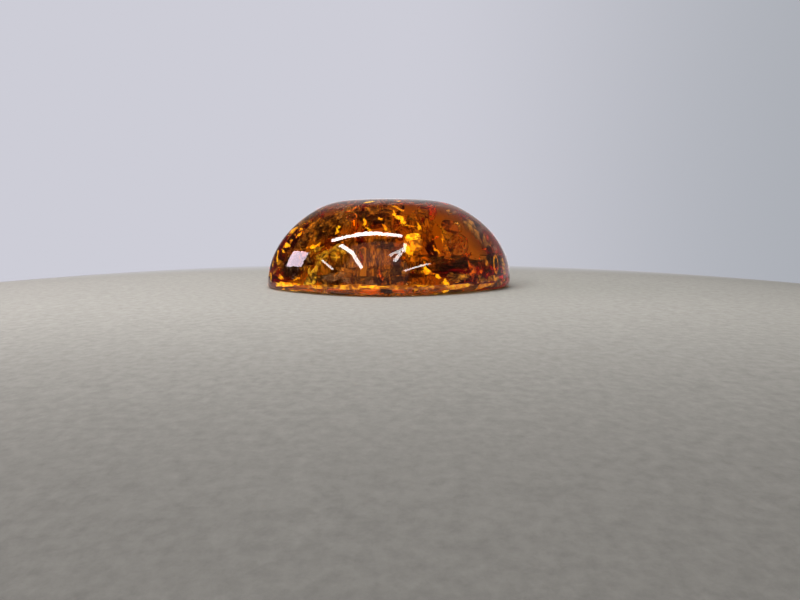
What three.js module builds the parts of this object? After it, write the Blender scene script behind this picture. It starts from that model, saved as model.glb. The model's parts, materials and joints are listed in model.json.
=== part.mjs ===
// A free-form oval amber cabochon: one polished lump of fossil resin with a domed top and a flat base.
// Millimetres, +Z up. The origin is on the base plane, in the middle of the stone's length and width.
// +X runs along the stone's length, towards its blunter end, and -Y is its front.
import * as THREE from "three";

// Driving dimensions of the stone.
const LENGTH = 30;
const WIDTH = 24;
const HEIGHT = 10.75;

// The dome is an ellipsoid that would rise to this height, if its top weren't ground nearly flat.
const FULL_DOME_HEIGHT = 11.65;
// How far the nearly flat top falls from the middle to the girdle's radius.
const TOP_FALL = 0.48;
// The height over which the dome's shoulder rounds into the flat top.
const SHOULDER_BLEND = 0.93;

// The girdle is the widest line. It lies low at the sharp left end and higher at the blunt right end.
const GIRDLE_HEIGHT = 0.65;
const GIRDLE_RISE = 0.3;
// The rounded bevel under the girdle, by how far it goes in from the girdle to the flat base.
const BEVEL_WIDTH = 0.6;
const BEVEL_RISE = 0.25;
// How much wider the bevel is at the front's two corners, between its middle and the ends.
const FRONT_CORNER_BEVEL = 1.5;

// The front's furthest point lies this far left of the middle.
const FRONT_LEAN = 0.4;
// The share by which the outline is slimmer than an oval between its four furthest points.
const FRONT_SLIMNESS = 0.06;
const BACK_SLIMNESS = 0.012;

// How finely the surface is faceted.
const SEGMENTS = 84;
const DOME_RINGS = 25;
const BEVEL_RINGS = 4;

// How far an angle, measured from +X, points to the front: 1 straight to the front, 0 over the back half.
function frontShare(angle) {
  return Math.max(-Math.sin(angle), 0);
}

// How near an angle is to the middle of a quarter: 1 between the furthest points, 0 at each of them.
function cornerShare(angle) {
  return Math.sin(2 * angle) ** 2;
}

// The height of the girdle at an angle.
function girdleHeight(angle) {
  return GIRDLE_HEIGHT + GIRDLE_RISE * Math.cos(angle);
}

// The girdle's outline seen from above.
function outline(angle) {
  const front = frontShare(angle);
  const slimness = THREE.MathUtils.lerp(BACK_SLIMNESS, FRONT_SLIMNESS, Math.sqrt(front));
  const fullness = 1 - slimness * cornerShare(angle);
  const x = (LENGTH / 2) * Math.cos(angle) * fullness - FRONT_LEAN * front ** 2;
  const y = (WIDTH / 2) * Math.sin(angle) * fullness;
  return new THREE.Vector2(x, y);
}

// The lower of two heights, with the corner between them rounded off.
function softMinimum(a, b) {
  const nearness = Math.max(SHOULDER_BLEND - Math.abs(a - b), 0) / SHOULDER_BLEND;
  return Math.min(a, b) - (nearness ** 2 * SHOULDER_BLEND) / 4;
}

// A point of the dome. The latitude is 0 at the girdle and a quarter turn at the top.
function domePoint(angle, latitude) {
  const share = Math.cos(latitude);
  const girdle = girdleHeight(angle);
  const dome = girdle + (FULL_DOME_HEIGHT - girdle) * Math.sin(latitude);
  const top = HEIGHT - TOP_FALL * share ** 2;
  const plan = outline(angle).multiplyScalar(share);
  return new THREE.Vector3(plan.x, plan.y, softMinimum(dome, top));
}

// A point of the bevel, a quarter of an oval. The turn is 0 at the base and a quarter turn at the girdle.
function bevelPoint(angle, turn) {
  const corner = FRONT_CORNER_BEVEL * Math.sqrt(frontShare(angle)) * cornerShare(angle);
  const width = BEVEL_WIDTH + BEVEL_RISE * Math.cos(angle) + corner;
  const plan = outline(angle);
  plan.setLength(plan.length() - width * (1 - Math.sin(turn)));
  return new THREE.Vector3(plan.x, plan.y, girdleHeight(angle) * (1 - Math.cos(turn)));
}

// The blank is a round dome of radius 1 on a round wall of height 1. Its profile starts and ends on the axis.
function turnedBlank() {
  const profile = [new THREE.Vector2(0, -1)];
  for (let i = 0; i < BEVEL_RINGS; i++) {
    profile.push(new THREE.Vector2(1, i / BEVEL_RINGS - 1));
  }
  for (let i = 0; i < DOME_RINGS; i++) {
    const latitude = ((i / DOME_RINGS) * Math.PI) / 2;
    profile.push(new THREE.Vector2(Math.cos(latitude), Math.sin(latitude)));
  }
  profile.push(new THREE.Vector2(0, 1));
  return new THREE.LatheGeometry(profile, SEGMENTS).rotateX(Math.PI / 2);
}

// The blank with each of its points moved to the stone's own surface.
function cabochon() {
  const geometry = turnedBlank();
  geometry.deleteAttribute("normal");
  geometry.deleteAttribute("uv");
  const position = geometry.getAttribute("position");
  const point = new THREE.Vector3();
  for (let i = 0; i < position.count; i++) {
    point.fromBufferAttribute(position, i);
    const radius = Math.hypot(point.x, point.y);
    const angle = Math.atan2(point.y, point.x);
    if (point.z >= 0) {
      point.copy(domePoint(angle, Math.atan2(point.z, radius)));
    } else if (radius > 0.5) {
      point.copy(bevelPoint(angle, ((point.z + 1) * Math.PI) / 2));
    } else {
      point.set(0, 0, 0);
    }
    position.setXYZ(i, point.x, point.y, point.z);
  }
  geometry.computeVertexNormals();
  return geometry;
}

// Warm cognac resin, seen through.
const resin = new THREE.MeshStandardMaterial({
  name: "cognac_amber",
  color: 0xb4590d,
  roughness: 0.06,
  metalness: 0,
  transparent: true,
  opacity: 0.82,
});

const amber = new THREE.Mesh(cabochon(), resin);
amber.name = "amber_cabochon";

const part = new THREE.Group();
part.add(amber);

export default part;
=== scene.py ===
# %% [markdown]
# # A polished amber cabochon
# Amber is fossil tree resin. This piece was ground to an oval dome with a nearly flat top and a flat base,
# and then polished until it shines like glass. Inside it are things that the resin caught or that formed as
# it aged: disc-shaped stress cracks that flash like gold, crumpled flakes, shreds of bark and fine dust.
# The lesson sets up the camera first, then builds the clear body and what is sealed in it, and then the
# floor and the light.

import json
import math
import random

import bmesh
import bpy
from mathutils import Matrix, Vector, noise
from mathutils.bvhtree import BVHTree

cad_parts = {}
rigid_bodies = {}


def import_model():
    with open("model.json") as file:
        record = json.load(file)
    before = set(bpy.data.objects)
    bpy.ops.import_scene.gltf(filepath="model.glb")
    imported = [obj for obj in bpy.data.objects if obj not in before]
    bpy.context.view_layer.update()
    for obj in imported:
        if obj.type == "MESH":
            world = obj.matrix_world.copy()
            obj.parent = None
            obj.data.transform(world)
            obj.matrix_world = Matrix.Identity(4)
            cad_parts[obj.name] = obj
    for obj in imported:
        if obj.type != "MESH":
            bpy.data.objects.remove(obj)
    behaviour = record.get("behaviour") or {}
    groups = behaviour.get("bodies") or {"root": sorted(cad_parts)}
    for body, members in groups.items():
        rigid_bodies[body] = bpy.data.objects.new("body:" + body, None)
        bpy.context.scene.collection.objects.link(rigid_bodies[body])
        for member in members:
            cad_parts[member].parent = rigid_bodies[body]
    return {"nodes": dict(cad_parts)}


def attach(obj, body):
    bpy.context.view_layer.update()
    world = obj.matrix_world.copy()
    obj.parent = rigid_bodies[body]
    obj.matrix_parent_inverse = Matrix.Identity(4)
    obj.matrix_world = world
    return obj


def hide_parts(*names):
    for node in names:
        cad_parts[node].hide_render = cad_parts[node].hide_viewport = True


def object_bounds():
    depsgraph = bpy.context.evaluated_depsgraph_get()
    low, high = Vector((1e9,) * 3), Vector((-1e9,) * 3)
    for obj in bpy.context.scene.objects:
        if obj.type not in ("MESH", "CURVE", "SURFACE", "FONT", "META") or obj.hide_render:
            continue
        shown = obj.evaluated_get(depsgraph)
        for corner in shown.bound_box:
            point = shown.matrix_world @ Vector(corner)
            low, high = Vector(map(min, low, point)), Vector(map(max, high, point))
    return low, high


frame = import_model()
cad_low, cad_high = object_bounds()
MM = 0.001
STONE = "amber_cabochon"
print("stone, mm:", [round((b - a) / MM, 2) for a, b in zip(cad_low, cad_high)])

# %% [markdown]
# ## The camera
# The stone was seen from a little above the level of its base, from close by. Where it stands in the frame,
# and how far its base bows down, give the camera's distance, height and tilt. The camera comes first here,
# because the inclusions are placed later by looking through it.

# %% Make the camera
FRAME_WIDTH, FRAME_HEIGHT = 800, 600
FOCAL_PIXELS = 700
SENSOR = 36
CAMERA_DISTANCE = 87.3 * MM
CAMERA_ELEVATION = math.radians(5.9)
BASE_PIXEL = Vector((389.2, 285.9))

eye = CAMERA_DISTANCE * Vector((0, -math.cos(CAMERA_ELEVATION), math.sin(CAMERA_ELEVATION)))
right_of_base = FRAME_WIDTH / 2 - BASE_PIXEL.x
below_base = FRAME_HEIGHT / 2 - BASE_PIXEL.y
turn = math.atan(right_of_base / FOCAL_PIXELS)
pitch = CAMERA_ELEVATION + math.atan(below_base / FOCAL_PIXELS)
bpy.ops.object.camera_add(location=eye, rotation=(math.pi / 2 - pitch, 0, -turn))
camera = bpy.context.object
camera.name = "photo_camera"
camera.data.sensor_width = SENSOR
camera.data.lens = FOCAL_PIXELS / FRAME_WIDTH * SENSOR
camera.data.clip_start = 1 * MM
camera.data.clip_end = 10
bpy.context.scene.camera = camera
bpy.context.view_layer.update()
print("lens, mm:", round(camera.data.lens, 2), "pitch, degrees:", round(math.degrees(pitch), 2))

# %% [markdown]
# ## Helpers for modelling as by hand
# An operator acts on everything that is selected, so each step starts by selecting one piece alone. Faces are
# then picked by a test on their place or normal, as a modeller would box-select them.

# %% Select one piece, pick its faces, apply a modifier
def alone(piece):
    bpy.ops.object.select_all(action="DESELECT")
    piece.select_set(True)
    bpy.context.view_layer.objects.active = piece


def pick_faces(piece, test):
    bpy.ops.mesh.select_mode(type="FACE")
    bpy.ops.mesh.select_all(action="DESELECT")
    mesh = bmesh.from_edit_mesh(piece.data)
    for face in mesh.faces:
        face.select_set(test(face))
    bmesh.update_edit_mesh(piece.data)
    return sum(face.select for face in mesh.faces)


def finish_with(piece, kind, **values):
    alone(piece)
    modifier = piece.modifiers.new(kind.title(), kind)
    for name, value in values.items():
        setattr(modifier, name, value)
    bpy.ops.object.modifier_apply(modifier=modifier.name)


# %% [markdown]
# ## The clear body
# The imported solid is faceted, and facets would show as flat panes in glass. A copy of it is merged, and its
# triangles are turned back into quads. The fans of thin triangles in the middle of the top and of the base
# would pinch the reflections, so they are cut out and filled with even grids. Two subdivisions then make it
# smooth.

# %% Copy the solid and turn it into quads
MERGE_DISTANCE = 0.002 * MM
QUAD_ANGLE = math.radians(60)

solid = frame["nodes"][STONE]
alone(solid)
bpy.ops.object.duplicate()
body = bpy.context.object
bpy.ops.object.parent_clear(type="CLEAR_KEEP_TRANSFORM")
bpy.ops.object.transform_apply(location=True, rotation=True, scale=True)
body.name = body.data.name = "amber_body"
body.data.materials.clear()
bpy.ops.object.mode_set(mode="EDIT")
bpy.ops.mesh.select_all(action="SELECT")
bpy.ops.mesh.remove_doubles(threshold=MERGE_DISTANCE)
bpy.ops.mesh.normals_make_consistent(inside=False)
bpy.ops.mesh.tris_convert_to_quads(face_threshold=QUAD_ANGLE, shape_threshold=QUAD_ANGLE)
bpy.ops.object.mode_set(mode="OBJECT")
print("quads and triangles:", len(body.data.polygons))

# %% Replace the two fans with grids
CAP_SHARE = 4.9 / 15
CAP_LOWEST = 9 * MM
GRID_SPAN = 21


def in_cap(face):
    """Whether a face is near the middle of the top, within an oval of that share of the outline's size."""
    centre = face.calc_center_median()
    share = Vector((centre.x / cad_high.x, centre.y / cad_high.y)).length
    return centre.z > CAP_LOWEST and share < CAP_SHARE


def in_base(face):
    return face.normal.z < -0.999


def fill_with_grid(piece, test, group):
    """Cuts out the picked faces and fills the hole, whose edge loop has 84 points, with 21 by 21 quads."""
    bpy.ops.object.mode_set(mode="EDIT")
    count = pick_faces(piece, test)
    bpy.ops.mesh.delete(type="FACE")
    bpy.ops.mesh.select_mode(type="EDGE")
    bpy.ops.mesh.select_all(action="DESELECT")
    bpy.ops.mesh.select_non_manifold(extend=False)
    bpy.ops.mesh.fill_grid(span=GRID_SPAN)
    piece.vertex_groups.new(name=group)
    piece.vertex_groups.active = piece.vertex_groups[group]
    bpy.ops.mesh.select_mode(type="VERT")
    bpy.ops.object.vertex_group_assign()
    bpy.ops.object.mode_set(mode="OBJECT")
    print(group, "faces cut out:", count)


fill_with_grid(body, in_base, "base")
fill_with_grid(body, in_cap, "cap")
finish_with(body, "SHRINKWRAP", target=solid, wrap_method="NEAREST_SURFACEPOINT", vertex_group="cap")
finish_with(body, "SUBSURF", levels=2, render_levels=2)

# %% Let the polished dome wander a little, as one polished by hand does
POLISH_WAVE = 3.5 * MM
POLISH_DEPTH = 0.02 * MM
DOME_LOWEST = 1.6 * MM

waves = bpy.data.textures.new("polish_waves", "CLOUDS")
waves.noise_scale = POLISH_WAVE
waves.noise_depth = 1
dome = body.vertex_groups.new(name="dome")
dome.add([v.index for v in body.data.vertices if v.co.z > DOME_LOWEST], 1.0, "REPLACE")
finish_with(body, "DISPLACE", texture=waves, strength=POLISH_DEPTH, mid_level=0.5, vertex_group="dome")
alone(body)
bpy.ops.object.shade_smooth()
print("body faces:", len(body.data.polygons))

# %% [markdown]
# ## The amber itself
# Amber bends light a little more than window glass does, with an index of 1.54. Its colour isn't on its
# surface: it comes from the way that light takes through it. Blue is lost first and then green, so thin edges
# are yellow and the deep middle is cognac brown. A volume that only absorbs gives exactly this.

# %% The amber's material
AMBER_INDEX = 1.54
ABSORPTION_PER_METRE = 380
ABSORPTION_COLOUR = (0.978, 0.760, 0.03)


def new_material(name, **values):
    """A material whose shader has the given plain values. Returns the material, its nodes and its shader."""
    made = bpy.data.materials.new(name)
    made.use_nodes = True
    shader = made.node_tree.nodes["Principled BSDF"]
    for socket, value in values.items():
        shader.inputs[socket.replace("_", " ")].default_value = value
    return made, made.node_tree, shader


amber, tree, shader = new_material(
    "cognac_amber", Base_Color=(1, 1, 1, 1), Roughness=0.0, IOR=AMBER_INDEX, Transmission_Weight=1.0)
absorption = tree.nodes.new("ShaderNodeVolumeAbsorption")
absorption.inputs["Color"].default_value = (*ABSORPTION_COLOUR, 1)
absorption.inputs["Density"].default_value = ABSORPTION_PER_METRE
tree.links.new(absorption.outputs["Volume"], tree.nodes["Material Output"].inputs["Volume"])
body.data.materials.append(amber)

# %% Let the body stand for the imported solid
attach(body, "root")
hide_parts(STONE)
print("amber's index:", AMBER_INDEX)

# %% [markdown]
# ## Looking into the stone
# What is sealed in the stone is placed as it was seen: at a point of the frame and so deep inside.
# A ray from the camera through that point is bent where it enters the dome, by Snell's law, and then followed
# to the depth. So each thing stays where it was seen although the dome bends the view of it.

# %% Follow a ray to the dome and on into the stone
bpy.context.view_layer.update()
skin = BVHTree.FromObject(body, bpy.context.evaluated_depsgraph_get())


def look_through(x, y):
    """The ray from the camera through a point of the frame."""
    ray = Vector(((x - FRAME_WIDTH / 2) / FOCAL_PIXELS, (FRAME_HEIGHT / 2 - y) / FOCAL_PIXELS, -1))
    return (camera.matrix_world.to_3x3() @ ray).normalized()


def on_dome(x, y):
    """Where that ray meets the stone, and the normal there."""
    ray = look_through(x, y)
    place, normal, face, distance = skin.ray_cast(eye, ray)
    return place, normal, ray


def mirrored(x, y, distance):
    """The point that is seen mirrored in the dome there, so far away."""
    place, normal, ray = on_dome(x, y)
    return place + distance * ray.reflect(normal)


def inside(x, y, depth):
    """The point so deep in the stone that is seen there, and the bent ray that leads to it."""
    place, normal, ray = on_dome(x, y)
    cosine = -ray.dot(normal)
    bent_cosine = math.sqrt(1 - (1 - cosine ** 2) / AMBER_INDEX ** 2)
    bent = (ray + cosine * normal) / AMBER_INDEX - bent_cosine * normal
    return place + depth * MM * bent, bent


def facing(x, y, depth, tilt=0, swing=0, roll=0):
    """A placing at that point. A flat piece placed by it faces the viewer, then leans back by tilt, turns
    aside by swing and turns in its own plane by roll, in degrees."""
    place, bent = inside(x, y, depth)
    towards = -bent
    side = Vector((0, 0, 1)).cross(towards).normalized()
    upwards = towards.cross(side)
    base = Matrix((side, upwards, towards)).transposed()
    lean = Matrix.Rotation(math.radians(-tilt), 3, "X")
    aside = Matrix.Rotation(math.radians(swing), 3, "Y")
    spin = Matrix.Rotation(math.radians(roll), 3, "Z")
    return Matrix.Translation(place) @ (base @ aside @ lean @ spin).to_4x4()


SURFACE_MARGIN = 0.12 * MM


def keep_inside(piece, margin=SURFACE_MARGIN):
    """Moves points that come too near the stone's surface back in, and says how many. The stone bulges
    everywhere, so a normal of its surface that points to its middle is turned round."""
    middle = (cad_low + cad_high) / 2
    moved = 0
    for vertex in piece.data.vertices:
        place, normal, face, distance = skin.find_nearest(vertex.co)
        if normal.dot(place - middle) < 0:
            normal = -normal
        depth = (place - vertex.co).dot(normal)
        if depth < margin:
            vertex.co = place - margin * normal
            moved += 1
    print(piece.name, "points moved in:", moved)


# %% [markdown]
# ## Crumpled sheets
# Most of what is sealed in the stone is thin: films along old cracks, torn bits of bark, veils of fine dust.
# One sheet is modelled as by hand: a grid is torn at its border, crumpled, folded and given a little
# thickness. A few such sheets are made, coarse ones for cracks and veils and fine ones for what is seen best,
# and each thing in the stone is a copy of one.

# %% Model the sheets that the flakes are copied from
creases = bpy.data.textures.new("creases", "CLOUDS")
creases.noise_scale = 0.28 * MM
SHEET_THICKNESS = 0.03 * MM
FOLD_OFFSET = 0.12 * MM
FOLD_SLANT = 0.4
BORDER_ROUNDNESS = 2.6
COARSE_TEARS, FINE_TEARS = 3.1, 9.7
WHOLE_REACH = 0.43


def model_sheet(name, seed, crumple, fold, columns=9, rows=7, torn=0.3, smooth=1, relief=0.25):
    """A crumpled sheet 1 mm wide and high, facing +Z. Its object is a pattern, deleted at the end."""
    bpy.ops.object.select_all(action="DESELECT")
    bpy.ops.mesh.primitive_grid_add(x_subdivisions=columns, y_subdivisions=rows, size=1 * MM)
    sheet = bpy.context.object
    sheet.name = sheet.data.name = name
    bpy.ops.object.mode_set(mode="EDIT")

    def at_torn_border(face):
        centre = face.calc_center_median() / MM
        edge = abs(centre.x) ** BORDER_ROUNDNESS + abs(centre.y) ** BORDER_ROUNDNESS
        edge **= 1 / BORDER_ROUNDNESS
        wild = noise.noise(Vector((centre.x * COARSE_TEARS, centre.y * COARSE_TEARS, seed * 7.7)))
        wild += 0.5 * noise.noise(Vector((centre.x * FINE_TEARS, centre.y * FINE_TEARS, seed * 3.3)))
        return edge > WHOLE_REACH - torn * (0.35 + wild)

    pick_faces(sheet, at_torn_border)
    bpy.ops.mesh.delete(type="FACE")
    bpy.ops.mesh.select_mode(type="VERT")
    bpy.ops.mesh.select_all(action="SELECT")
    bpy.ops.transform.vertex_random(offset=0.4 / columns * MM, uniform=1.0, normal=0.0, seed=seed)
    bpy.ops.transform.vertex_random(offset=crumple * MM, uniform=0.0, normal=1.0, seed=seed + 1)
    across_folds = Vector((1, FOLD_SLANT, 0))
    for side in (-1, 1):
        pick_faces(sheet, lambda f: side * f.calc_center_median().dot(across_folds) > FOLD_OFFSET)
        bpy.ops.transform.rotate(
            value=math.radians(-side * fold), orient_axis="Y", center_override=(side * FOLD_OFFSET, 0, 0))
    bpy.ops.object.mode_set(mode="OBJECT")
    finish_with(sheet, "DISPLACE", texture=creases, strength=relief * MM, mid_level=0.5)
    if smooth:
        finish_with(sheet, "SUBSURF", levels=smooth, render_levels=smooth)
    finish_with(sheet, "SOLIDIFY", thickness=SHEET_THICKNESS, offset=0)
    alone(sheet)
    bpy.ops.object.shade_smooth()
    return sheet


sheets = [
    model_sheet("sheet_torn", 3, 0.08, 24),
    model_sheet("sheet_folded", 11, 0.06, 42),
    model_sheet("sheet_flat", 19, 0.04, 8),
    model_sheet("sheet_wavy", 29, 0.10, -30),
]
fine_sheets = [
    model_sheet("flake_torn", 5, 0.030, 24, 17, 15, 0.34, 0),
    model_sheet("flake_folded", 13, 0.025, 40, 17, 15, 0.36, 0),
    model_sheet("flake_broad", 23, 0.015, 10, 17, 15, 0.10, 0),
    model_sheet("flake_wavy", 31, 0.035, -30, 17, 15, 0.38, 0),
    model_sheet("flake_whole", 37, 0.008, 6, 17, 15, 0.03, 0, 0.07),
]
print("sheet faces:", [len(sheet.data.polygons) for sheet in sheets + fine_sheets])

# %% [markdown]
# ## Sun spangles
# Heat or age makes disc-shaped cracks in amber, often round a tiny bubble. Each has rings like a ripple on
# water and a frayed rim. A disc is inset again and again, and every ring is lifted or lowered a little.

# %% Model the disc that the spangles are copied from
def model_disc(name, seed, ripple, rings=5):
    """A rippled disc 1 mm across, facing +Z."""
    bpy.ops.object.select_all(action="DESELECT")
    bpy.ops.mesh.primitive_circle_add(vertices=24, radius=0.5 * MM, fill_type="NGON")
    disc = bpy.context.object
    disc.name = disc.data.name = name
    bpy.ops.object.mode_set(mode="EDIT")
    bpy.ops.mesh.select_mode(type="FACE")
    bpy.ops.mesh.select_all(action="SELECT")
    for ring in range(rings):
        bpy.ops.mesh.inset(thickness=0.5 * MM / (rings + 1), depth=0)
        bpy.ops.transform.translate(value=(0, 0, ripple * (-1) ** ring * MM))
    bpy.ops.mesh.select_mode(type="VERT")
    bpy.ops.mesh.select_all(action="SELECT")
    bpy.ops.transform.vertex_random(offset=0.022 * MM, uniform=1.0, normal=0.0, seed=seed)
    bpy.ops.transform.vertex_random(offset=0.02 * MM, uniform=0.0, normal=1.0, seed=seed + 1)
    bpy.ops.object.mode_set(mode="OBJECT")
    finish_with(disc, "SUBSURF", levels=1, render_levels=1)
    finish_with(disc, "SOLIDIFY", thickness=0.025 * MM, offset=0)
    alone(disc)
    bpy.ops.object.shade_smooth()
    return disc


discs = [model_disc("disc_rippled", 5, 0.035), model_disc("disc_flat", 9, 0.012)]
print("disc faces:", [len(disc.data.polygons) for disc in discs])

# %% [markdown]
# ## Specks, bubbles and a loop
# Dust and gas got into the resin while it was soft. Both are round at first and then drawn out as it flows.

# %% Model a speck, a bubble and a loop
def model_grain(name, detail, shake, seed):
    bpy.ops.object.select_all(action="DESELECT")
    bpy.ops.mesh.primitive_ico_sphere_add(subdivisions=detail, radius=0.5 * MM)
    grain = bpy.context.object
    grain.name = grain.data.name = name
    bpy.ops.object.mode_set(mode="EDIT")
    bpy.ops.transform.vertex_random(offset=shake * MM, uniform=0.5, normal=0.5, seed=seed)
    bpy.ops.transform.resize(value=(1, 0.8, 0.9))
    bpy.ops.object.mode_set(mode="OBJECT")
    bpy.ops.object.shade_smooth()
    return grain


speck = model_grain("speck", 1, 0.12, 3)
bubble = model_grain("bubble", 2, 0.01, 4)

bpy.ops.object.select_all(action="DESELECT")
bpy.ops.mesh.primitive_torus_add(
    major_segments=24, minor_segments=6, major_radius=0.44 * MM, minor_radius=0.07 * MM)
loop = bpy.context.object
loop.name = loop.data.name = "loop"
bpy.ops.object.mode_set(mode="EDIT")
bpy.ops.mesh.select_all(action="SELECT")
bpy.ops.transform.vertex_random(offset=0.03 * MM, uniform=0.5, normal=0.5, seed=6)
bpy.ops.object.mode_set(mode="OBJECT")
bpy.ops.object.shade_smooth()

patterns = [*sheets, *fine_sheets, *discs, speck, bubble, loop]
print("patterns:", len(patterns))

# %% Copy a pattern, and join copies into one piece
def copy_of(pattern, placing, size):
    """A copy of a pattern with its own mesh, scaled to a size in mm and put in its place."""
    bpy.ops.object.select_all(action="DESELECT")
    copy = bpy.data.objects.new(pattern.name + "_copy", pattern.data.copy())
    bpy.context.collection.objects.link(copy)
    width, height = size
    stretch = Matrix.Diagonal((width, height, math.sqrt(width * height), 1))
    copy.data.transform(placing @ stretch)
    return copy


def joined(name, copies, material):
    """Joins copies into one piece with one material, which rides with the stone."""
    bpy.ops.object.select_all(action="DESELECT")
    for copy in copies:
        copy.select_set(True)
    bpy.context.view_layer.objects.active = copies[0]
    bpy.ops.object.join()
    piece = bpy.context.object
    piece.name = piece.data.name = name
    piece.data.materials.clear()
    piece.data.materials.append(material)
    keep_inside(piece)
    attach(piece, "root")
    print(name, "copies:", len(copies), "faces:", len(piece.data.polygons))
    return piece


# %% [markdown]
# ## Finishes of what is sealed in
# On a shining film a noise lays gold, orange and brown side by side: the light colour is a painted glint,
# where the film would throw light back, and the dark one is painted shade, where it would not. The glow is
# painted light too: it stands for the light that reaches a flake from all sides through the stone. A
# veil is the same with holes in it, and it fades out at its border.

# %% Build the crackle that all of them share, as a group
# A Mix node has its two colours and its mixed colour at these places in its lists of sockets.
FIRST_COLOUR = 6
SECOND_COLOUR = 7
MIXED_COLOUR = 2
VEIL_BORDER_START = 0.22
VEIL_BORDER_END = 0.48


def crackle_group():
    """Noise in three colours, the noise itself, and how far a veil covers what is behind it."""
    group = bpy.data.node_groups.new("crackle", "ShaderNodeTree")
    inputs = {
        "Scale": ("Float", 1500), "Stretch": ("Vector", (1, 1, 1)), "Share": ("Float", 0.5),
        "Softness": ("Float", 0.1), "Opacity": ("Float", 1), "Light": ("Color", (1, 1, 1, 1)),
        "Middle": ("Color", (1, 1, 1, 1)), "Dark": ("Color", (0, 0, 0, 1)),
    }
    for name, (kind, value) in inputs.items():
        socket = group.interface.new_socket(name, in_out="INPUT", socket_type="NodeSocket" + kind)
        socket.default_value = value
    for name, kind in (("Colour", "Color"), ("Mask", "Float"), ("Cover", "Float")):
        group.interface.new_socket(name, in_out="OUTPUT", socket_type="NodeSocket" + kind)
    nodes, links = group.nodes, group.links
    given = nodes.new("NodeGroupInput")
    result = nodes.new("NodeGroupOutput")
    place = nodes.new("ShaderNodeTexCoord")

    def math_node(operation, a, b):
        node = nodes.new("ShaderNodeMath")
        node.operation = operation
        for socket, value in zip(node.inputs, (a, b)):
            if isinstance(value, (int, float)):
                socket.default_value = value
            else:
                links.new(value, socket)
        return node.outputs["Value"]

    def step(value, low, high):
        node = nodes.new("ShaderNodeMapRange")
        node.interpolation_type = "SMOOTHSTEP"
        links.new(value, node.inputs["Value"])
        for name, edge in (("From Min", low), ("From Max", high)):
            if isinstance(edge, (int, float)):
                node.inputs[name].default_value = edge
            else:
                links.new(edge, node.inputs[name])
        return node.outputs["Result"]

    stretched = nodes.new("ShaderNodeVectorMath")
    stretched.operation = "MULTIPLY"
    links.new(place.outputs["Object"], stretched.inputs[0])
    links.new(given.outputs["Stretch"], stretched.inputs[1])
    grain = nodes.new("ShaderNodeTexNoise")
    grain.inputs["Detail"].default_value = 6
    grain.inputs["Roughness"].default_value = 0.6
    grain.inputs["Distortion"].default_value = 0.8
    links.new(stretched.outputs["Vector"], grain.inputs["Vector"])
    links.new(given.outputs["Scale"], grain.inputs["Scale"])
    value = grain.outputs["Fac"]
    share, softness = given.outputs["Share"], given.outputs["Softness"]
    lower = step(value, math_node("SUBTRACT", share, softness), share)
    upper = step(value, share, math_node("ADD", share, softness))
    # On the shining films the light colour is a painted glint and the dark one painted shade, laid side by
    # side by the noise.
    colour = given.outputs["Dark"]
    for part, name in ((lower, "Middle"), (upper, "Light")):
        mix = nodes.new("ShaderNodeMix")
        mix.data_type = "RGBA"
        links.new(part, mix.inputs["Factor"])
        links.new(colour, mix.inputs[FIRST_COLOUR])
        links.new(given.outputs[name], mix.inputs[SECOND_COLOUR])
        colour = mix.outputs[MIXED_COLOUR]
    links.new(colour, result.inputs["Colour"])
    links.new(value, result.inputs["Mask"])

    centred = nodes.new("ShaderNodeVectorMath")
    centred.operation = "DISTANCE"
    centred.inputs[1].default_value = (0.5, 0.5, 0)
    links.new(place.outputs["UV"], centred.inputs[0])
    border = math_node("SUBTRACT", 1, step(centred.outputs["Value"], VEIL_BORDER_START, VEIL_BORDER_END))
    cover = math_node("MULTIPLY", math_node("MULTIPLY", lower, border), given.outputs["Opacity"])
    links.new(cover, result.inputs["Cover"])
    return group


CRACKLE = crackle_group()


def crackled(name, light, middle, dark, share, scale, metallic=0.0, roughness=0.5, glow=0.0, veil=0.0,
             stretch=(1, 1, 1), softness=0.09):
    """A crackled finish. A veil's holes and border are clear, and the rest is as opaque as veil says."""
    made, tree, shader = new_material(name, Metallic=metallic, Roughness=roughness, Emission_Strength=glow)
    crackle = tree.nodes.new("ShaderNodeGroup")
    crackle.node_tree = CRACKLE
    values = {
        "Scale": scale, "Stretch": stretch, "Share": share, "Softness": softness, "Opacity": veil,
        "Light": (*light, 1), "Middle": (*middle, 1), "Dark": (*dark, 1),
    }
    for socket, value in values.items():
        crackle.inputs[socket].default_value = value
    bump = tree.nodes.new("ShaderNodeBump")
    bump.inputs["Strength"].default_value = 0.5
    bump.inputs["Distance"].default_value = 0.08 * MM
    tree.links.new(crackle.outputs["Colour"], shader.inputs["Base Color"])
    tree.links.new(crackle.outputs["Mask"], bump.inputs["Height"])
    tree.links.new(bump.outputs["Normal"], shader.inputs["Normal"])
    # Painted light: the crackle's colour is also given out as light, as strong as glow says.
    if glow:
        tree.links.new(crackle.outputs["Colour"], shader.inputs["Emission Color"])
    if veil:
        tree.links.new(crackle.outputs["Cover"], shader.inputs["Alpha"])
    return made


# %% Make the finishes of the flakes
# The gold film's colour is a painted glint, and its glow painted light, standing for the light that a crack
# in the stone throws back.
gold_glint = crackled(
    "gold_film_painted_glint", (1.0, 0.60, 0.015), (0.85, 0.31, 0.01), (0.28, 0.07, 0.006),
    share=0.45, scale=1200, metallic=0.5, roughness=0.35, glow=0.85)
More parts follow.
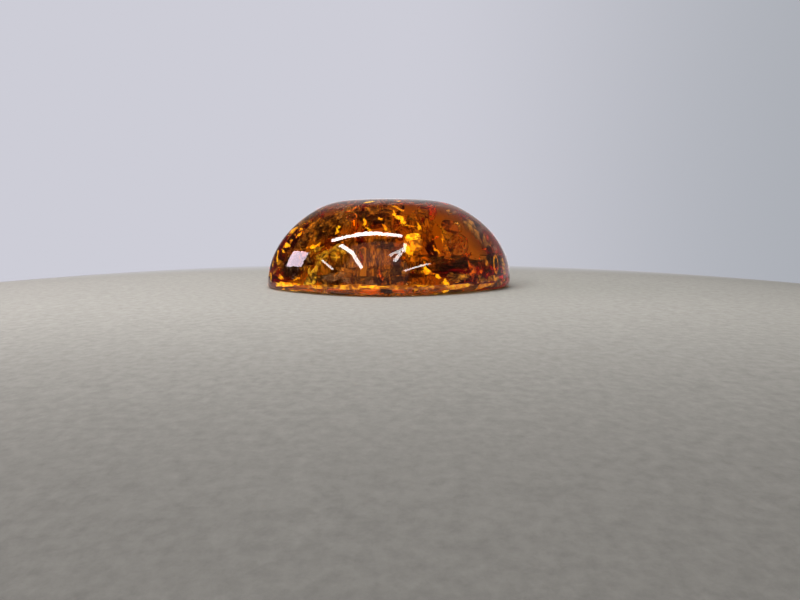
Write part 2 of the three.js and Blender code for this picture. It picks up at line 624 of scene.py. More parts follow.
# The orange gold film's colour is a painted glint as well, and its glow painted light.
orange_glint = crackled(
    "orange_film_painted_glint", (0.95, 0.45, 0.012), (0.60, 0.21, 0.006), (0.28, 0.07, 0.003),
    share=0.52, scale=1100, metallic=0.3, roughness=0.4, glow=0.6)
brass = crackled(
    "brown_gold_film", (0.85, 0.42, 0.05), (0.30, 0.11, 0.02), (0.05, 0.018, 0.005),
    share=0.52, scale=1300, metallic=0.6, roughness=0.4, glow=0.35, softness=0.13)
ember = crackled(
    "red_orange_film", (1.0, 0.24, 0.02), (0.42, 0.055, 0.006), (0.09, 0.012, 0.003),
    share=0.51, scale=1500, metallic=0.4, roughness=0.4, glow=0.38)
olive = crackled(
    "olive_film", (1.0, 0.62, 0.05), (0.45, 0.25, 0.02), (0.10, 0.05, 0.007),
    share=0.50, scale=1500, metallic=0.3, roughness=0.4, glow=0.42)
bark = crackled(
    "dark_bark", (0.30, 0.075, 0.015), (0.13, 0.022, 0.006), (0.04, 0.006, 0.002),
    share=0.50, scale=1800, metallic=0.85, roughness=0.4, glow=0.14)

# %% Make the finishes of the veils
smoke = crackled(
    "dark_veil", (0.06, 0.016, 0.005), (0.11, 0.034, 0.011), (0.04, 0.01, 0.005),
    share=0.51, scale=700, veil=0.92)
streaks = crackled(
    "streaked_veil", (0.85, 0.42, 0.07), (0.26, 0.095, 0.020), (0.08, 0.03, 0.008),
    share=0.50, scale=1300, glow=0.17, veil=0.8, stretch=(1.7, 1.7, 0.24))
layers = crackled(
    "layered_veil", (0.03, 0.010, 0.003), (0.08, 0.022, 0.005), (0.05, 0.02, 0.01),
    share=0.53, scale=900, veil=0.85, stretch=(0.35, 0.5, 3.0), softness=0.06)
haze = crackled(
    "milky_veil", (0.80, 0.50, 0.42), (0.50, 0.25, 0.18), (0.2, 0.1, 0.07),
    share=0.52, scale=900, glow=0.10, veil=0.30, softness=0.14)
print("finishes:", [finish.name for finish in (gold_glint, orange_glint, brass, ember, olive, bark)])

# %% [markdown]
# ## What can be told one by one
# Each line gives a thing: where it was seen, across and down the frame, in pixels, how deep in mm, its width
# and height in pixels, how it leans, turns and lies, in degrees, and which sheet it is a copy of.

# %% Place things by lines
PIXELS_PER_MM = 8.1


def place_rows(rows, kinds):
    copies = []
    for x, y, depth, width, height, tilt, swing, roll, kind in rows:
        size = (width / PIXELS_PER_MM, height / PIXELS_PER_MM)
        copies.append(copy_of(kinds[kind], facing(x, y, depth, tilt, swing, roll), size))
    return copies


# Real flakes whose gold is a painted glint: the light that a crack throws back is laid on them as a glowing
# colour.
gold_glint_rows = [
    (293, 230, 1.5, 17, 10, 25, 10, 20, 0),
    (299, 235, 2.2, 9, 7, 35, -20, 70, 3),
    (301, 229, 1.6, 7, 5, 35, 20, 10, 1),
    (287, 245, 1.3, 13, 7, 30, 10, -20, 0),
    (291, 241, 1.8, 7, 5, 20, 30, 40, 1),
    (283, 251, 1.0, 8, 4, 20, 30, -30, 3),
    (277, 259, 0.6, 4, 12, 10, 20, 10, 3),
    (271, 276, 0.5, 3, 12, 10, 20, 10, 0),
    (281, 277, 1.0, 10, 5, 20, 10, -20, 0),
    (296, 278, 1.2, 12, 4, 20, 10, 10, 1),
    # The next two lay a painted band of light along the bottom edge, where light from behind comes through
    # the bevel.
    (287, 284, 0.7, 38, 5, 20, 0, 1, 0),
    (279, 284.5, 0.6, 18, 4, 20, 0, 0, 1),
    (312, 247, 3.0, 14, 7, 30, 10, 15, 3),
    (318, 245, 2.8, 10, 5, 40, -30, 60, 0),
    (337, 231, 2.4, 5, 8, 20, 0, 0, 1),
    (339, 227, 2.4, 4, 4, 20, 0, 0, 0),
    (365, 222, 2.6, 5, 10, 20, 30, -10, 0),
    (368, 229, 2.6, 7, 5, 20, 30, -20, 3),
    (380, 219, 2.8, 4, 7, 30, 10, 28, 3),
    (385, 227, 2.8, 4, 9, 30, 10, 20, 0),
    (369, 202, 0.9, 12, 5, 40, 0, 20, 2),
    (399, 201, 0.9, 7, 4, 30, 0, 30, 0),
    (396, 207, 1.3, 6, 9, 30, 40, 60, 1),
    (401, 210, 1.5, 5, 7, 30, 40, 20, 3),
    (401, 219, 2.0, 9, 17, 25, 10, 35, 0),
    (394, 213, 2.0, 5, 8, 25, 10, -15, 1),
    (413, 236.5, 1.85, 16, 7, 10, -10, 8, 4),
    (407, 246, 1.85, 6, 14, 10, -10, 5, 4),
    (410, 251, 3.0, 9, 9, 10, -10, 30, 0),
    (407, 248, 3.6, 5, 14, 20, 20, 0, 2),
    (268, 284, 0.35, 4, 6, 10, 30, 10, 0),
    (269, 274, 0.35, 3, 9, 10, 30, 5, 3),
    (273, 263, 0.4, 3, 9, 10, 30, 15, 1),
    (278, 252, 0.5, 4, 8, 10, 30, 25, 0),
    (427, 271, 3.0, 12, 7, 20, 0, -25, 0),
    (437, 276, 3.0, 9, 6, 25, 10, -20, 3),
    (446, 282, 2.6, 9, 6, 25, 0, -30, 0),
    (443, 240, 5.0, 5, 4, 30, 0, 20, 1),
    (450, 245, 5.0, 7, 4, 30, 0, 20, 0),
    (434, 248, 5.0, 4, 9, 30, 50, -30, 3),
    (438, 251, 5.0, 4, 6, 30, 50, 30, 0),
    (419, 226, 4.0, 5, 9, 20, 20, 0, 1),
    (410, 226, 4.0, 10, 3, 20, 20, 0, 3),
    # This one lays a painted band of light along the base, where light from behind is thrown back inside it.
    (374, 287, 0.6, 34, 2, 15, 0, 0, 2),
]
joined("gold_flakes_painted_glint", place_rows(gold_glint_rows, fine_sheets), gold_glint)

# %% Place the brown, the red and the orange gold ones
brown_rows = [
    (350, 209, 2.0, 20, 16, 25, 0, 0, 3),
    (346, 222, 2.5, 16, 18, 25, 20, 30, 0),
    (447, 237, 4.0, 9, 12, 20, 0, 10, 0),
    (448, 247, 5.0, 14, 7, 30, 0, 0, 1),
    (330, 222, 3.0, 30, 14, 30, 20, 30, 0),
    (312, 226, 2.4, 22, 10, 30, -20, 60, 3),
    (375, 210, 3.5, 34, 12, 35, 0, 10, 1),
    (388, 232, 5.0, 30, 14, 20, 20, 80, 0),
    (420, 212, 5.0, 16, 8, 30, 20, 10, 3),
    (350, 246, 5.0, 24, 18, 20, -20, 10, 3),
    (375, 262, 5.0, 14, 40, 10, 10, 5, 0),
    (366, 268, 4.5, 10, 30, 10, 30, -5, 1),
    (386, 266, 5.5, 12, 34, 15, -10, 10, 3),
    (345, 272, 3.0, 26, 12, 20, 10, -10, 0),
    (300, 264, 2.0, 12, 22, 10, 10, 20, 3),
    (412, 260, 6.0, 20, 12, 20, 10, 60, 0),
    (494, 278, 1.2, 18, 7, 20, 0, 0, 2),
    (486, 262, 1.6, 8, 14, 20, 0, 0, 3),
    (330, 286, 0.8, 30, 3, 15, 0, 0, 0),
    (504, 270, 0.7, 8, 20, 0, 0, 0, 0),
    (303, 240, 2.0, 15, 8, 20, 20, 20, 0),
    (310, 236, 2.4, 12, 8, 20, -20, 60, 3),
    (299, 247, 1.8, 10, 5, 20, 0, -30, 1),
    (316, 238, 2.8, 14, 9, 20, 30, 10, 0),
    (499, 283, 0.7, 20, 6, 0, 0, 0, 3),
    (458, 277, 1.8, 30, 9, 0, 0, 3, 0),
    (482, 279, 1.4, 22, 8, 0, 0, -3, 1),
    (503, 262, 0.8, 7, 12, 0, 0, 0, 3),
]
ember_rows = [
    (460, 237, 4.0, 4, 11, 30, 60, 20, 3),
    (456, 234, 4.0, 3, 6, 30, 60, -40, 0),
    (486, 241, 2.2, 6, 9, 10, 50, 10, 0),
    (466, 252, 3.0, 3, 10, 10, 20, 15, 1),
    (472, 270, 1.6, 11, 20, 10, -20, 10, 0),
    (480, 266, 2.6, 5, 24, 10, 20, -5, 3),
    (464, 276, 2.6, 8, 10, 10, -20, 30, 1),
    (436, 238, 5.0, 8, 3, 10, -20, 30, 3),
    (493, 250, 1.6, 5, 6, 20, 20, 0, 1),
    (380, 275, 3.0, 5, 16, 20, 20, 5, 3),
    (362, 258, 3.0, 5, 14, 20, 20, 0, 0),
]
# Flakes whose orange gold is a painted glint, and, along the base, bands of painted light.
orange_glint_rows = [
    (413.5, 242.5, 2.0, 18, 18, 10, -10, 5, 4),
    (443.5, 240, 3.2, 5, 12, 20, 10, -8, 1),
    # These six lay a painted band of light along the bottom edge, where light from behind comes through the
    # bevel.
    (318, 286.6, 0.6, 34, 4.2, 15, 0, 0, 0),
    (356, 287.2, 0.6, 56, 5.0, 15, 0, 0, 4),
    (396, 287.4, 0.6, 40, 4.8, 15, 0, 0, 2),
    (428, 287.0, 0.6, 50, 4.6, 15, 0, 1, 1),
    (460, 286.0, 0.6, 36, 4.0, 15, 0, 2, 2),
    (486, 284.8, 0.6, 28, 3.4, 15, 0, 3, 0),
]
joined("brown_flakes", place_rows(brown_rows, fine_sheets), brass)
right_loop_rows = [(496, 264, 0.9, 7, 18, 0, 20, -5, 0)]
left_loop_rows = [
    (352, 217, 1.4, 10, 9, 20, 0, 0, 0),
    (349, 208, 1.4, 15, 11, 20, 0, 10, 0),
]
orange_flakes_painted_glint = place_rows(orange_glint_rows, fine_sheets) + place_rows(right_loop_rows, [loop])
joined("orange_flakes_painted_glint", orange_flakes_painted_glint, orange_glint)
ember_flakes = place_rows(ember_rows, fine_sheets) + place_rows(left_loop_rows, [loop])
joined("red_orange_flakes", ember_flakes, ember)

# %% Pull the olive ribbon out of a short edge, step by step
# Each station is seen at two pixels of the frame, so many mm deep, and heads in that direction, in degrees.
ribbon_path = [
    (342, 248, 1.9, 40),
    (338, 251, 1.8, 70),
    (333, 250, 1.7, 100),
    (328, 252, 1.7, 120),
    (323, 257, 1.6, 130),
    (319, 262, 1.6, 135),
    (315, 268, 1.5, 130),
    (312, 274, 1.4, 120),
    (310, 280, 1.2, 105),
    (309, 285, 0.9, 95),
]
RIBBON_WIDTH = 1.6 * MM
RIBBON_THICKNESS = 0.05 * MM
RIBBON_SWAY = 14


def ribbon_station(x, y, depth, heading):
    """The middle of the ribbon, and the direction across it. The ribbon sways as its heading turns."""
    frame_here = facing(x, y, depth, RIBBON_SWAY * math.sin(math.radians(3 * heading)), 12, heading + 90)
    return frame_here.translation, frame_here.to_3x3() @ Vector((1, 0, 0))


bpy.ops.object.select_all(action="DESELECT")
start, across = ribbon_station(*ribbon_path[0])
turned = across.to_track_quat("X", "Z").to_euler()
bpy.ops.mesh.primitive_plane_add(size=RIBBON_WIDTH, location=start, rotation=turned)
ribbon = bpy.context.object
ribbon.name = ribbon.data.name = "olive_ribbon"
bpy.ops.object.transform_apply(location=True, rotation=True, scale=True)
bpy.ops.object.mode_set(mode="EDIT")
bpy.ops.mesh.select_mode(type="VERT")
bpy.ops.mesh.select_all(action="SELECT")
bpy.ops.mesh.merge(type="CENTER")
bpy.ops.transform.translate(value=-across * RIBBON_WIDTH / 2)
bpy.ops.mesh.extrude_vertices_move()
bpy.ops.transform.translate(value=across * RIBBON_WIDTH)
bpy.ops.mesh.select_all(action="SELECT")
here, across_here = start, across
for station in ribbon_path[1:]:
    there, across_there = ribbon_station(*station)
    bpy.ops.mesh.extrude_edges_move()
    bpy.ops.transform.translate(value=there - here)
    swung = across_here.rotation_difference(across_there)
    axis, angle = swung.to_axis_angle()
    mesh = bmesh.from_edit_mesh(ribbon.data)
    ends = [vertex for vertex in mesh.verts if vertex.select]
    bmesh.ops.rotate(mesh, cent=there, matrix=Matrix.Rotation(angle, 3, axis), verts=ends)
    bmesh.update_edit_mesh(ribbon.data)
    here, across_here = there, across_there
bpy.ops.mesh.select_all(action="SELECT")
bpy.ops.mesh.subdivide(number_cuts=3)
bpy.ops.transform.vertex_random(offset=0.06 * MM, uniform=1.0, normal=0.0, seed=12)
bpy.ops.object.mode_set(mode="OBJECT")
finish_with(ribbon, "DISPLACE", texture=creases, strength=0.7 * MM, mid_level=0.5)
finish_with(ribbon, "SUBSURF", levels=1, render_levels=1)
finish_with(ribbon, "SOLIDIFY", thickness=RIBBON_THICKNESS, offset=0)
alone(ribbon)
bpy.ops.object.shade_smooth()
olive_rows = [
    (323, 256, 2.2, 20, 12, 20, 20, 40, 0),
    (333, 256, 2.4, 14, 12, 20, 0, 0, 3),
    (344, 250, 2.4, 12, 8, 20, 20, 20, 1),
    (316, 250, 2.0, 14, 8, 20, 0, 30, 3),
]
joined("olive_ribbon", [ribbon, *place_rows(olive_rows, fine_sheets)], olive)

# %% [markdown]
# ## Random places
# The rest lies in the stone without order. Each random place is drawn from one seeded series, so that the
# stone is the same every time.

# %% Draw random places and turns
chance = random.Random(41)
FULL_TURN = 6.28
HALF_TURN = 3.14


def anywhere(low_share, high_share, clearance, highest=1.0):
    """A random point inside the stone, between two shares of its length, that keeps clear of its surface."""
    while True:
        place = Vector(chance.uniform(a, b) for a, b in zip(cad_low, cad_high))
        place.x = cad_low.x + (cad_high.x - cad_low.x) * chance.uniform(low_share, high_share)
        place.z = cad_low.z + (cad_high.z - cad_low.z) * chance.uniform(0, highest)
        near, normal, face, distance = skin.find_nearest(place)
        if (near - place).dot(normal) > clearance * MM:
            return place


def any_turn(least=0, most=HALF_TURN):
    """A turn about Z by any angle, after a tip between two angles."""
    about_z = Matrix.Rotation(chance.uniform(0, FULL_TURN), 4, "Z")
    return about_z @ Matrix.Rotation(chance.uniform(least, most), 4, "X")


def any_upright():
    """Turns a sheet so that it stands within about half a right angle of upright, facing any way."""
    return any_turn(0.8, 2.3)


def copy_at(pattern, place, turned, size):
    return copy_of(pattern, Matrix.Translation(place) @ turned, size)


# %% Place the dark shreds and specks
dark_rows = [
    (353, 218, 1.6, 5, 5, 20, 0, 0, 2),
    (427.5, 228, 2.2, 3, 6, 10, 0, -15, 1),
    (429, 231, 2.2, 3, 4, 10, 0, 25, 3),
    (466, 224, 2.0, 4, 3, 10, 0, 0, 2),
    (296, 271, 2.2, 16, 12, 10, 10, 30, 0),
    (286, 262, 1.6, 8, 14, 10, 20, 0, 3),
    (452, 262, 4.0, 30, 7, 20, 0, 5, 0),
    (462, 258, 4.4, 24, 5, 20, 0, -5, 3),
    (498, 257, 2.2, 10, 12, 10, 10, 60, 0),
    (486, 268, 2.6, 9, 12, 10, 0, 20, 1),
    (340, 208, 2.0, 12, 5, 30, 10, 20, 0),
    (430, 208, 2.0, 6, 4, 30, 10, 20, 3),
    (395, 226, 4.0, 12, 6, 25, 0, 30, 3),
]
disc_rows = [
    (454, 229, 3.0, 10, 10, 20, 0, 0, 1),
    (450, 226, 3.3, 17, 13, 20, 0, 0, 0),
    (352, 217, 1.6, 7, 6, 20, 0, 0, 1),
]
SPECK_COUNT = 90
shreds = place_rows(dark_rows, fine_sheets) + place_rows(disc_rows, discs)
for number in range(SPECK_COUNT):
    size = chance.uniform(0.05, 0.22)
    place = anywhere(0.0, 1.0 if number % 3 else 0.6, 0.3)
    shreds.append(copy_at(speck, place, any_turn(), (size, size * chance.uniform(0.5, 1.0))))
joined("dark_shreds", shreds, bark)

# %% Place the veils
smoke_rows = [
    (331, 225, 3.5, 44, 30, 15, 0, 0, 0),
    (304, 240, 2.8, 26, 22, 15, 0, 30, 2),
    (324, 236, 3.0, 30, 26, 10, 20, 40, 1),
    (300, 262, 2.0, 40, 36, 10, 0, 0, 2),
    (287, 268, 1.2, 22, 28, 0, 20, 0, 3),
    (312, 215, 2.0, 30, 18, 30, 0, 30, 0),
    (385, 218, 5.5, 36, 24, 15, 0, 0, 1),
    (372, 214, 4.0, 44, 20, 20, 0, 0, 2),
    (360, 255, 7.0, 56, 46, 5, 0, 0, 2),
    (345, 268, 5.0, 50, 30, 5, 0, 10, 0),
    (398, 262, 7.0, 50, 36, 5, 0, 0, 3),
    (420, 272, 6.0, 44, 20, 5, 0, 0, 1),
    (383, 280, 3.0, 60, 14, 0, 0, 0, 2),
    (330, 280, 2.0, 50, 12, 0, 0, 0, 0),
    (500, 262, 1.8, 18, 26, 0, 20, 0, 2),
    (451, 228, 5.0, 18, 16, 20, 0, 0, 2),
    (505, 272, 0.8, 12, 26, 0, 20, 0, 0),
    (399, 269, 3.0, 26, 24, 0, 0, 0, 1),
    (388, 243, 3.0, 34, 15, 0, 0, 0, 3),
]
layer_rows = [
    (455, 263, 4.0, 64, 26, 0, 0, 0, 2),
    (446, 266, 5.0, 54, 20, 0, 0, 0, 0),
    (465, 260, 3.0, 46, 20, 0, 10, 0, 2),
    (491, 262, 1.8, 34, 28, 0, 20, 0, 2),
    (498, 268, 2.2, 24, 24, 0, 30, 0, 1),
    (430, 258, 5.5, 30, 12, 0, 0, 0, 3),
    (462, 277, 2.4, 60, 12, 0, 0, 0, 2),
    (500, 276, 1.2, 26, 16, 0, 20, 0, 0),
]
streak_rows = [
    (368, 262, 4.0, 44, 50, 0, 0, 0, 2),
    (378, 258, 5.0, 40, 46, 0, 10, 0, 0),
    (357, 265, 4.5, 40, 42, 0, -10, 0, 2),
    (391, 268, 5.0, 40, 38, 0, 0, 0, 3),
    (330, 262, 4.5, 36, 36, 0, 20, 30, 2),
    (410, 262, 6.5, 36, 34, 0, 0, 0, 0),
    (325, 226, 4.5, 50, 34, 10, 0, 20, 2),
    (345, 214, 3.0, 40, 24, 20, 0, 0, 1),
    (470, 224, 1.0, 20, 34, 20, 0, 42, 2),
    (478, 234, 0.8, 16, 40, 10, 20, 35, 0),
    (487, 240, 0.8, 14, 20, 10, 20, 30, 3),
    (452, 212, 1.0, 26, 12, 30, 0, 20, 1),
]
haze_rows = [
    (334, 276, 1.6, 30, 13, 10, 0, 8, 2),
    (346, 279, 2.0, 24, 9, 10, 0, -10, 0),
    (372, 284, 2.0, 30, 8, 10, 0, 0, 1),
    (345, 206, 0.5, 44, 10, 50, 0, -8, 2),
    (385, 203, 0.5, 50, 9, 55, 0, 0, 0),
    (425, 204, 0.5, 50, 10, 55, 0, 4, 2),
    (458, 212, 0.5, 36, 11, 45, 0, 25, 1),
    (480, 228, 0.5, 30, 11, 35, 0, 45, 2),
    (495, 248, 0.5, 26, 9, 20, 0, 65, 0),
]
# Each kind of veil has its finish, its placed rows, and how many more are scattered.
veil_kinds = [
    (smoke, smoke_rows, 16),
    (streaks, streak_rows, 22),
    (layers, layer_rows, 3),
    (haze, haze_rows, 0),
]
for finish, rows, scattered in veil_kinds:
    copies = place_rows(rows, sheets)
    for number in range(scattered):
        width = chance.uniform(2.5, 6.0)
        place = anywhere(0.02, 0.62, 0.6, 1.0 if number % 2 else 0.3)
        pattern = chance.choice(sheets)
        copies.append(copy_at(pattern, place, any_upright(), (width, width * 0.7)))
    joined(finish.name + "s", copies, finish)

# %% [markdown]
# ## Cracks that are true gaps
# A stress crack in amber is a very thin gap of air. Light that meets it at a low angle is thrown back whole,
# so it flashes like gold, and light that meets it squarely goes through. That look comes only from real gaps,
# so crumpled sheets, rippled discs and bubbles are turned inside out and joined to the clear body as hollows.

# %% Scatter the cracks and the bubbles
CRACK_COUNT = 96
DISC_COUNT = 14
BUBBLE_COUNT = 20
cracks = []
for number in range(CRACK_COUNT):
    width = chance.uniform(0.5, 1.6) if number % 3 else chance.uniform(1.5, 4.0)
    place = anywhere(0.0, 0.60 if number % 6 else 1.0, 0.25 + width * 0.3)
    size = (width, width * chance.uniform(0.5, 1.0))
    cracks.append(copy_at(chance.choice(sheets), place, any_turn(), size))
for number in range(DISC_COUNT):
    width = chance.uniform(1.2, 3.2)
    place = anywhere(0.0, 0.7 if number % 3 else 1.0, 0.3 + width * 0.35)
    cracks.append(copy_at(chance.choice(discs), place, any_turn(), (width, width * 0.9)))
for number in range(BUBBLE_COUNT):
    size = chance.uniform(0.12, 0.4)
    cracks.append(copy_at(bubble, anywhere(0.0, 1.0, 0.4), any_turn(), (size, size)))
spangle_rows = [
    (350, 210, 2.5, 20, 20, 30, 0, 0, 0),
    (456, 227, 4.6, 12, 12, 25, 0, 0, 0),
]
cracks += place_rows(spangle_rows, discs)
hollows = joined("stress_cracks", cracks, amber)
bpy.ops.object.mode_set(mode="EDIT")
bpy.ops.mesh.select_all(action="SELECT")
bpy.ops.mesh.flip_normals()
bpy.ops.object.mode_set(mode="OBJECT")

# %% Join the cracks to the clear body
alone(body)
hollows.select_set(True)
bpy.ops.object.join()
print("body faces with its cracks:", len(body.data.polygons))

# %% [markdown]
# ## The floor
# The stone lies on a plain pale floor. It is flat under the stone and then falls away very gently, so that
# its horizon lies just behind the stone from every side.

# %% Model the floor ring by ring
FLAT_RADIUS = 17 * MM
FLOOR_BEND = 620 * MM
FLOOR_RINGS = 40
FLOOR_EDGE = 600 * MM
FLOOR_DROP = 0.02 * MM

bpy.ops.object.select_all(action="DESELECT")
bpy.ops.mesh.primitive_circle_add(
    vertices=128, radius=FLAT_RADIUS, fill_type="NGON", location=(0, 0, -FLOOR_DROP))
floor = bpy.context.object
floor.name = floor.data.name = "floor"
bpy.ops.object.mode_set(mode="EDIT")
bpy.ops.mesh.select_mode(type="EDGE")
bpy.ops.mesh.select_all(action="SELECT")
radius, height = FLAT_RADIUS, 0.0
for ring in range(1, FLOOR_RINGS + 1):
    next_radius = FLAT_RADIUS + (FLOOR_EDGE - FLAT_RADIUS) * (ring / FLOOR_RINGS) ** 2
    next_height = -((next_radius - FLAT_RADIUS) ** 2) / (2 * FLOOR_BEND)
    bpy.ops.mesh.select_all(action="DESELECT")
    bpy.ops.mesh.select_non_manifold(extend=False)
    bpy.ops.mesh.extrude_edges_move()
    scale = next_radius / radius
    bpy.ops.transform.resize(value=(scale, scale, 1), center_override=(0, 0, 0))
    bpy.ops.transform.translate(value=(0, 0, next_height - height))
    radius, height = next_radius, next_height
bpy.ops.mesh.select_all(action="SELECT")
bpy.ops.mesh.normals_make_consistent(inside=False)
bpy.ops.object.mode_set(mode="OBJECT")
bpy.ops.object.shade_smooth()
bpy.ops.object.transform_apply(location=True, rotation=True, scale=True)
print("floor drops, mm:", round(-height / MM, 1))

# %% Give the floor a finish with painted shade that darkens it in front, and fade it into the backdrop behind
FLOOR_COLOUR = (0.362, 0.352, 0.320)
FRONT_SHADE_SHARE = 0.43
FRONT_EDGE = -70 * MM
FRONT_BRIGHT = -14 * MM
BACKDROP_LEFT = (0.61, 0.61, 0.68)
FADE_START = 20 * MM
FADE_END = 62 * MM

pale_floor, tree, shader = new_material("pale_floor", Roughness=0.95)
shader.inputs["Specular IOR Level"].default_value = 0.1
coordinates = tree.nodes.new("ShaderNodeTexCoord")
fine_noise = tree.nodes.new("ShaderNodeTexNoise")
fine_noise.inputs["Scale"].default_value = 1500
fine_noise.inputs["Detail"].default_value = 6
fine_noise.inputs["Roughness"].default_value = 0.65
mottle = tree.nodes.new("ShaderNodeValToRGB")
for element, position, share in zip(mottle.color_ramp.elements, (0.25, 0.75), (0.84, 1.16)):
    element.position = position
    element.color = (*[c * share for c in FLOOR_COLOUR], 1)
bump = tree.nodes.new("ShaderNodeBump")
bump.inputs["Strength"].default_value = 0.5
bump.inputs["Distance"].default_value = 0.12 * MM
parts = tree.nodes.new("ShaderNodeSeparateXYZ")


def floor_step(start, end, first, last):
    """A value that goes smoothly from first to last, between two distances from front to back."""
    node = tree.nodes.new("ShaderNodeMapRange")
    node.interpolation_type = "SMOOTHSTEP"
    for name, value in (("From Min", start), ("From Max", end), ("To Min", first), ("To Max", last)):
        node.inputs[name].default_value = value
    tree.links.new(parts.outputs["Y"], node.inputs["Value"])
    return node.outputs["Result"]


shade = tree.nodes.new("ShaderNodeVectorMath")
shade.operation = "SCALE"
fade = floor_step(FADE_START, FADE_END, 0, 1)
plain = tree.nodes.new("ShaderNodeMix")
plain.data_type = "RGBA"
plain.inputs[SECOND_COLOUR].default_value = (0, 0, 0, 1)
shader.inputs["Emission Color"].default_value = (*BACKDROP_LEFT, 1)
tree.links.new(coordinates.outputs["Object"], parts.inputs["Vector"])
tree.links.new(coordinates.outputs["Object"], fine_noise.inputs["Vector"])
tree.links.new(fine_noise.outputs["Fac"], mottle.inputs["Fac"])
tree.links.new(mottle.outputs["Color"], shade.inputs[0])
# Painted shade: towards the front the floor's colour is darkened to a share of itself.
tree.links.new(floor_step(FRONT_EDGE, FRONT_BRIGHT, FRONT_SHADE_SHARE, 1), shade.inputs["Scale"])
tree.links.new(shade.outputs["Vector"], plain.inputs[FIRST_COLOUR])
tree.links.new(fade, plain.inputs["Factor"])
tree.links.new(plain.outputs[MIXED_COLOUR], shader.inputs["Base Color"])
tree.links.new(fade, shader.inputs["Emission Strength"])
tree.links.new(fine_noise.outputs["Fac"], bump.inputs["Height"])
tree.links.new(bump.outputs["Normal"], shader.inputs["Normal"])
floor.data.materials.append(pale_floor)

# %% [markdown]
# ## The light
# Clear things take their look from what stands around them. The backdrop that the camera sees is plain and
# pale. The light that reaches the stone comes from a bright side behind it, a dimmer side in front, and a few
# narrow lamps whose reflections draw the bright lines on the dome.

# %% The backdrop and the light from around
BACKDROP_RIGHT = (0.40, 0.42, 0.46)
BEHIND = (1.15, 1.10, 1.12)
BESIDE = (0.26, 0.26, 0.28)
IN_FRONT = (0.04, 0.033, 0.038)
WHOLE = (1, 1, 1)
HIGH_SHARE = (0.48, 0.48, 0.48)
OVERHEAD_SHARE = (0.06, 0.06, 0.06)
LEFT_SHARE = (0.06, 0.06, 0.06)
RIGHT_SHARE = (0.60, 0.60, 0.60)

world = bpy.data.worlds.new("studio")
world.use_nodes = True
bpy.context.scene.world = world
tree = world.node_tree
tree.nodes.clear()
direction = tree.nodes.new("ShaderNodeTexCoord")
parts = tree.nodes.new("ShaderNodeSeparateXYZ")
tree.links.new(direction.outputs["Generated"], parts.inputs["Vector"])


def world_ramp(axis, low, high, stops):
    """Colours along one axis of the direction, as (position, colour) stops from low to high."""
    spread = tree.nodes.new("ShaderNodeMapRange")
    spread.inputs["From Min"].default_value = low
    spread.inputs["From Max"].default_value = high
    ramp = tree.nodes.new("ShaderNodeValToRGB")
    ramp.color_ramp.interpolation = "EASE"
    while len(ramp.color_ramp.elements) < len(stops):
        ramp.color_ramp.elements.new(0.5)
    for element, (position, colour) in zip(ramp.color_ramp.elements, stops):
        element.position = position
        element.color = (*colour, 1)
    tree.links.new(parts.outputs[axis], spread.inputs["Value"])
    tree.links.new(spread.outputs["Result"], ramp.inputs["Fac"])
    return ramp.outputs["Color"]


shown = tree.nodes.new("ShaderNodeBackground")
backdrop = world_ramp("X", -0.6, 0.6, [(0, BACKDROP_LEFT), (0.5, BACKDROP_LEFT), (1, BACKDROP_RIGHT)])
tree.links.new(backdrop, shown.inputs["Color"])
around = world_ramp("Y", -1, 1, [(0.1, IN_FRONT), (0.5, BESIDE), (0.85, BEHIND)])
upward = world_ramp("Z", 0, 1, [(0.04, WHOLE), (0.22, HIGH_SHARE), (0.5, HIGH_SHARE), (0.85, OVERHEAD_SHARE)])
sideways = world_ramp("X", -1, 1, [(0.22, LEFT_SHARE), (0.46, WHOLE), (0.6, WHOLE), (0.80, RIGHT_SHARE)])


def times(a, b):
    product = tree.nodes.new("ShaderNodeMix")
    product.data_type = "RGBA"
    product.blend_type = "MULTIPLY"
    product.inputs["Factor"].default_value = 1
    tree.links.new(a, product.inputs[FIRST_COLOUR])
    tree.links.new(b, product.inputs[SECOND_COLOUR])
    return product.outputs[MIXED_COLOUR]


lit = tree.nodes.new("ShaderNodeBackground")
tree.links.new(times(times(around, upward), sideways), lit.inputs["Color"])
path = tree.nodes.new("ShaderNodeLightPath")
mix = tree.nodes.new("ShaderNodeMixShader")
output = tree.nodes.new("ShaderNodeOutputWorld")
tree.links.new(path.outputs["Is Camera Ray"], mix.inputs["Fac"])
for background, socket in zip((lit, shown), mix.inputs[1:]):
    tree.links.new(background.outputs["Background"], socket)
tree.links.new(mix.outputs["Shader"], output.inputs["Surface"])

# %% A soft light for the floor alone, so that its glare doesn't veil the dome
FLOOR_LIGHT_HEIGHT = 150 * MM
FLOOR_LIGHT_SIZE = 120 * MM
FLOOR_LIGHT_WATTS = 0.10
bpy.ops.object.light_add(type="AREA", location=(-20 * MM, 40 * MM, FLOOR_LIGHT_HEIGHT))
floor_light = bpy.context.object
floor_light.name = "floor_light"
floor_light.data.size = FLOOR_LIGHT_SIZE
floor_light.data.energy = FLOOR_LIGHT_WATTS
floor_light.visible_camera = False
lit_by_it = bpy.data.collections.new("lit_by_floor_light")
lit_by_it.objects.link(floor)
floor_light.light_linking.receiver_collection = lit_by_it
print("floor light, W:", FLOOR_LIGHT_WATTS)

# %% Make lamps that are placed by where their reflections lie on the dome
LAMP_DISTANCE = 180 * MM


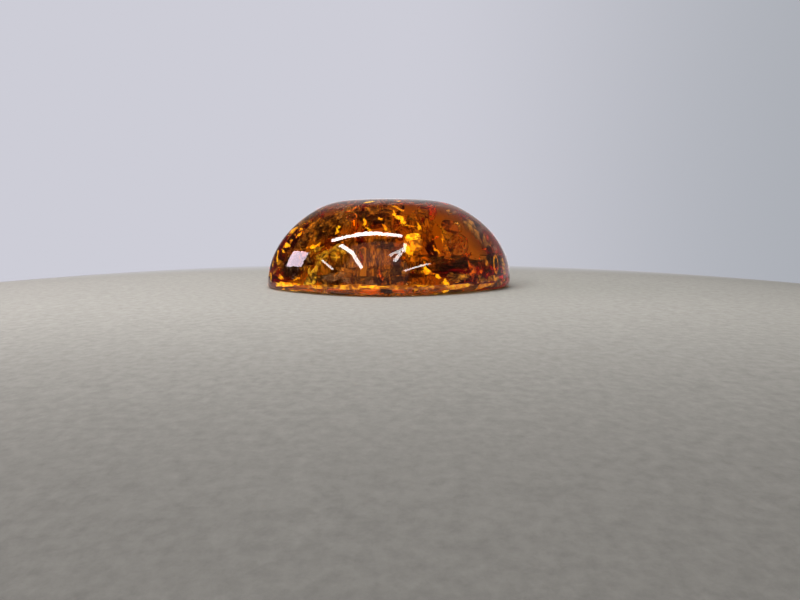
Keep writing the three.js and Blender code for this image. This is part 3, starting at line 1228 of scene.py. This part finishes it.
def lamp(name, start, end, width, radiance, colour=(1, 1, 1)):
    """A strip light whose reflection runs from one point of the frame to another."""
    a = mirrored(*start, LAMP_DISTANCE)
    b = mirrored(*end, LAMP_DISTANCE)
    centre = (a + b) / 2
    along = (b - a).normalized()
    towards = (-centre).normalized()
    across = towards.cross(along).normalized()
    towards = along.cross(across).normalized()
    turned = Matrix((along, across, -towards)).transposed()
    if (turned @ Vector((0, 0, -1))).dot(-centre) < 0:
        turned = Matrix((along, -across, towards)).transposed()
    length = (b - a).length
    data = bpy.data.lights.new(name, "AREA")
    data.shape = "RECTANGLE"
    data.size = length
    data.size_y = width
    data.color = colour
    data.energy = radiance * math.pi * length * width
    light = bpy.data.objects.new(name, data)
    light.matrix_world = Matrix.Translation(centre) @ turned.to_4x4()
    light.visible_camera = False
    bpy.context.collection.objects.link(light)
    print(name, "length and place, mm:", round(length / MM), [round(c / MM) for c in centre])
    return light


# %% Place the strips, the window and the dim panels
# Each strip has the two pixels between which it is seen, its width in mm and its radiance.
strips = {
    "strip_above_left": ((331, 241.5), (355, 234.8), 14, 20),
    "strip_above_middle": ((354, 234.8), (380, 233.2), 17, 24),
    "strip_above_right": ((379, 233.2), (403, 235.6), 15, 20),
    "strip_left_upper": ((340, 245.5), (353, 253), 12, 20),
    "strip_left_lower": ((352, 252), (361.5, 268), 11, 18),
    "strip_right_a": ((404.5, 244), (402.5, 252), 10, 12),
    "strip_right_b": ((403, 249), (390, 255), 11, 9),
    "strip_right_c": ((401, 252), (395, 261), 12, 13),
    "strip_low_left": ((322, 260), (334, 270), 6, 14),
    "strip_low_right": ((430, 263), (404, 271), 7, 12),
}
for name, (start, end, width, radiance) in strips.items():
    lamp(name, start, end, width * MM, radiance)

WINDOW_LEFT, WINDOW_RIGHT = (289, 258), (305, 259)
PANEL_LEFT, PANEL_RIGHT = (349, 257), (401, 254)
GLOW_LEFT, GLOW_RIGHT = (340, 274), (410, 274)
window = lamp("window", WINDOW_LEFT, WINDOW_RIGHT, 46 * MM, 10, (1.0, 0.80, 0.97))
window.visible_transmission = False
lamp("dim_panel", PANEL_LEFT, PANEL_RIGHT, 95 * MM, 0.30, (0.95, 0.78, 0.86))
dim_glow = lamp("dim_glow", GLOW_LEFT, GLOW_RIGHT, 150 * MM, 0.13, (0.95, 0.75, 0.90))
dim_glow.data.shape = "ELLIPSE"

# %% Colours as a camera shows them, and enough bounces for the light inside the stone
scene = bpy.context.scene
scene.view_settings.view_transform = "Standard"
scene.cycles.max_bounces = 32
scene.cycles.transmission_bounces = 28
scene.cycles.glossy_bounces = 16
scene.cycles.transparent_max_bounces = 24

# %% Delete the patterns
for pattern in patterns:
    bpy.data.objects.remove(pattern, do_unlink=True)
